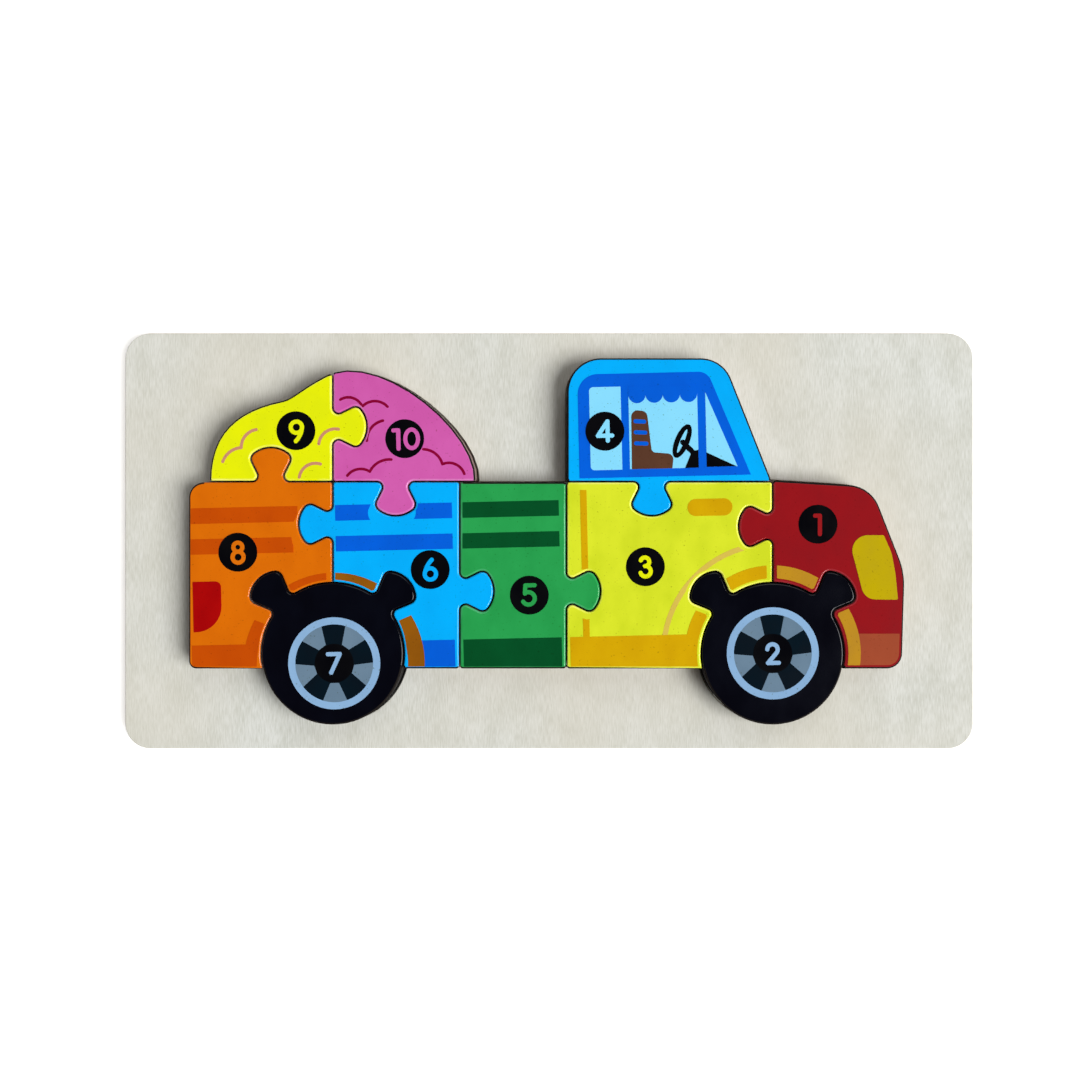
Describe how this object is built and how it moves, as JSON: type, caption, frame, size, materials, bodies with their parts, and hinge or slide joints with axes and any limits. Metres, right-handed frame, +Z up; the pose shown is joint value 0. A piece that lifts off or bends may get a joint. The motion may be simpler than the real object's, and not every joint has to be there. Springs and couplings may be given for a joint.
{
  "type": "wooden tray jigsaw puzzle",
  "caption": "Shallow plywood tray with a truck-shaped recess that holds thick, printed, interlocking wooden puzzle pieces, each lifted out by hand.",
  "frame": {"origin": "middle of the tray's underside, on the surface that it lies on", "axes": "+X along the tray to the truck's nose, +Y across the tray to the truck's roof, +Z up out of the tray"},
  "size_m": [0.3, 0.147, 0.015],
  "materials": {
    "bare_plywood": "bare sanded basswood plywood with a fine straight grain",
    "red_lacquer": "printed and clear lacquered, satin to gloss",
    "black_lacquer": "printed and clear lacquered, satin to gloss",
    "yellow_lacquer": "printed and clear lacquered, satin to gloss",
    "blue_lacquer": "printed and clear lacquered, satin to gloss",
    "green_lacquer": "printed and clear lacquered, satin to gloss",
    "orange_lacquer": "printed and clear lacquered, satin to gloss",
    "pink_lacquer": "printed and clear lacquered, satin to gloss"
  },
  "bodies": {
    "tray": {"backing_plate": "bare_plywood", "frame_plate": "bare_plywood"},
    "hood": {"hood": "red_lacquer"},
    "front_wheel": {"front_wheel": "black_lacquer"},
    "door": {"door": "yellow_lacquer"},
    "cab": {"cab": "blue_lacquer"},
    "middle_panel": {"middle_panel": "green_lacquer"},
    "rear_panel": {"rear_panel": "blue_lacquer"},
    "rear_wheel": {"rear_wheel": "black_lacquer"},
    "tail": {"tail": "orange_lacquer"},
    "rear_load": {"rear_load": "yellow_lacquer"},
    "front_load": {"front_load": "pink_lacquer"}
  },
  "joints": [
    {"name": "hood_lift", "type": "slide", "parent": "tray", "child": "hood", "axis": [0, 0, 1], "range_m": [0, 0.025]},
    {"name": "front_wheel_lift", "type": "slide", "parent": "tray", "child": "front_wheel", "axis": [0, 0, 1], "range_m": [0, 0.025]},
    {"name": "door_lift", "type": "slide", "parent": "tray", "child": "door", "axis": [0, 0, 1], "range_m": [0, 0.025]},
    {"name": "cab_lift", "type": "slide", "parent": "tray", "child": "cab", "axis": [0, 0, 1], "range_m": [0, 0.025]},
    {"name": "middle_panel_lift", "type": "slide", "parent": "tray", "child": "middle_panel", "axis": [0, 0, 1], "range_m": [0, 0.025]},
    {"name": "rear_panel_lift", "type": "slide", "parent": "tray", "child": "rear_panel", "axis": [0, 0, 1], "range_m": [0, 0.025]},
    {"name": "rear_wheel_lift", "type": "slide", "parent": "tray", "child": "rear_wheel", "axis": [0, 0, 1], "range_m": [0, 0.025]},
    {"name": "tail_lift", "type": "slide", "parent": "tray", "child": "tail", "axis": [0, 0, 1], "range_m": [0, 0.025]},
    {"name": "rear_load_lift", "type": "slide", "parent": "tray", "child": "rear_load", "axis": [0, 0, 1], "range_m": [0, 0.025]},
    {"name": "front_load_lift", "type": "slide", "parent": "tray", "child": "front_load", "axis": [0, 0, 1], "range_m": [0, 0.025]}
  ]
}
